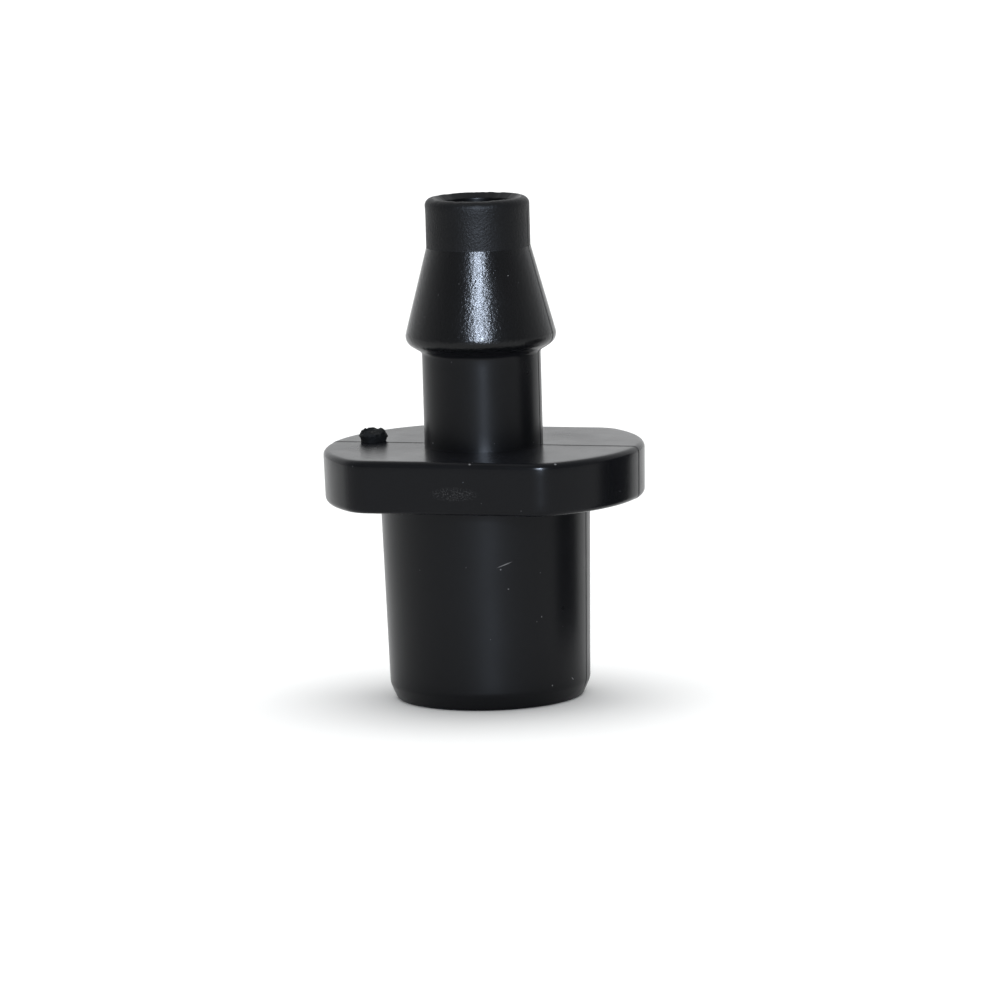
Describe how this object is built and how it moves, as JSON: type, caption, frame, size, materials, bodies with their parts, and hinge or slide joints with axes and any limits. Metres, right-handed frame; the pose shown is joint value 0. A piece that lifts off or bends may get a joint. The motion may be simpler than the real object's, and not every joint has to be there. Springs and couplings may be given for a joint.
{
  "type": "drip emitter",
  "caption": "Barbed on-line drip emitter with a flatted flange and a skirt that holds a pull-out flow cartridge.",
  "frame": {"origin": "centre of the skirt's base, which is the face the emitter stands on", "axes": "+Z along the barb's axis towards its nose; +X along the flange's long axis; the flange's two flats face +Y and -Y"},
  "size_m": [0.0124, 0.0098, 0.0195],
  "materials": {
    "body_black": "moulded black polypropylene, satin to glossy",
    "strainer_natural": "natural moulded acetal",
    "silicone": "translucent grey silicone rubber",
    "core_natural": "moulded blue acetal",
    "seal_rubber": "black EPDM rubber",
    "cap_black": "moulded black polypropylene, satin"
  },
  "bodies": {
    "body": {"emitter_body": "body_black", "inlet_strainer": "strainer_natural"},
    "cartridge": {"labyrinth_core": "core_natural", "core_seal": "seal_rubber", "outlet_cap": "cap_black"},
    "diaphragm": {"diaphragm": "silicone"}
  },
  "joints": [
    {"name": "cartridge_pull", "type": "slide", "parent": "body", "child": "cartridge", "axis": [0, 0, -1], "range_m": [0, 0.0095]},
    {"name": "diaphragm_lift", "type": "slide", "parent": "cartridge", "child": "diaphragm", "axis": [0, 0, -1], "range_m": [0, 0.00025], "stiffness_N_per_m": 800, "springref_m": -0.0002}
  ]
}
